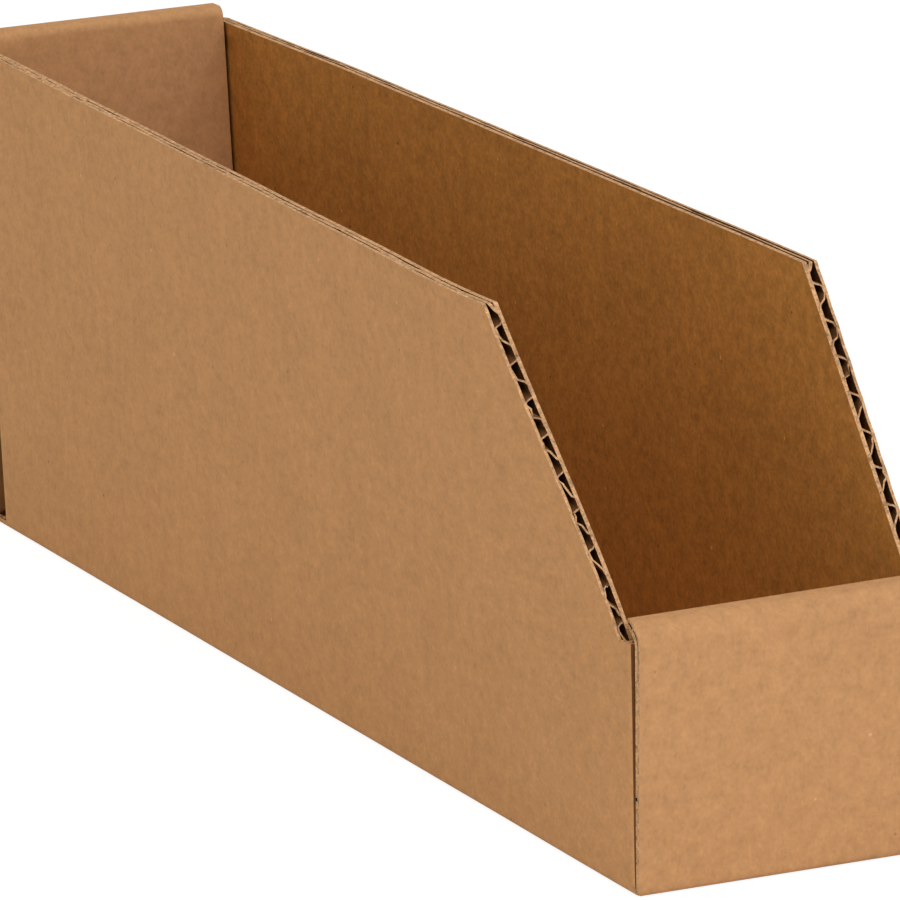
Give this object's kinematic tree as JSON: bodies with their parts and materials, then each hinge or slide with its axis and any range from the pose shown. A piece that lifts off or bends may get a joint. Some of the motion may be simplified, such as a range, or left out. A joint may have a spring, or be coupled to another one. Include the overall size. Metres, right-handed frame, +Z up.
{
  "type": "corrugated bin box",
  "caption": "Open-top corrugated shelf bin folded from one sheet: long and narrow, with a low front, sloped side walls and a full-height back.",
  "frame": {"origin": "middle of the underside, on the shelf", "axes": "+X across the bin, +Y from the low front to the high back, +Z up"},
  "size_m": [0.0698, 0.381, 0.1179],
  "materials": {
    "kraft_board": "uncoated kraft liner, open flutes at the cut edges"
  },
  "bodies": {
    "root": {"folded_bin": "kraft_board"}
  },
  "joints": []
}
